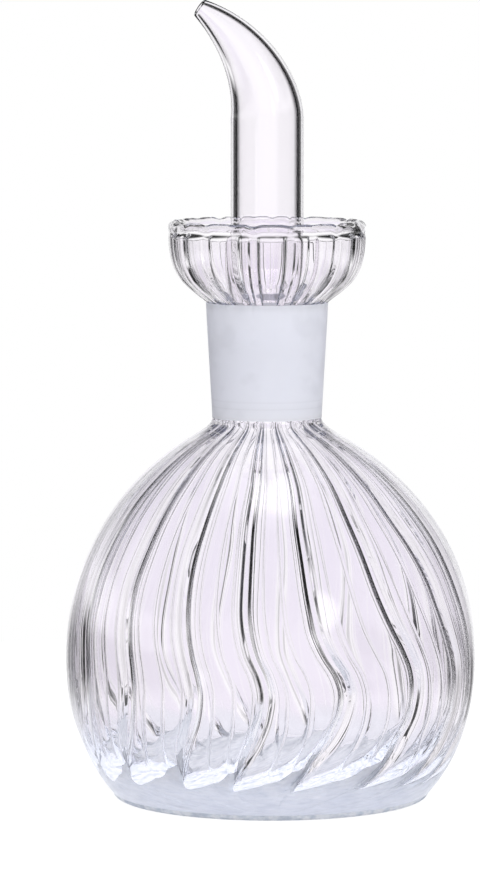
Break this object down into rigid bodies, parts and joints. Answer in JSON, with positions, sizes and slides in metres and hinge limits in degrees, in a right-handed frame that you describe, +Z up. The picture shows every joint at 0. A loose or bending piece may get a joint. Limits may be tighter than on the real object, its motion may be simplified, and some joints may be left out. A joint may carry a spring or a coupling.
{
  "type": "olive oil dispenser bottle",
  "caption": "Clear glass oil dispenser with a swirl-ribbed bulb, ground neck, ribbed drip cup and a lift-out bent pouring spout.",
  "frame": {"origin": "middle of the foot's underside, where the bottle stands", "axes": "+Z up along the bulb and neck; the spout at rest pours towards -X"},
  "size_m": [0.1016, 0.1008, 0.197],
  "materials": {
    "clear_glass": "clear, flame polished",
    "ground_glass": "ground, frosted"
  },
  "bodies": {
    "bottle": {"bottle_bulb": "clear_glass", "neck_socket": "ground_glass", "drip_cup": "clear_glass"},
    "stopper": {"ground_cone": "ground_glass"},
    "spout": {"spout_tube": "clear_glass"}
  },
  "joints": [
    {"name": "stopper_lift", "type": "slide", "parent": "bottle", "child": "stopper", "axis": [0, 0, 1], "range_m": [0, 0.05]},
    {"name": "spout_turn", "type": "hinge", "parent": "stopper", "child": "spout", "pos_m": [0, 0, 0.1287], "axis": [0, 0, 1], "continuous": true}
  ]
}
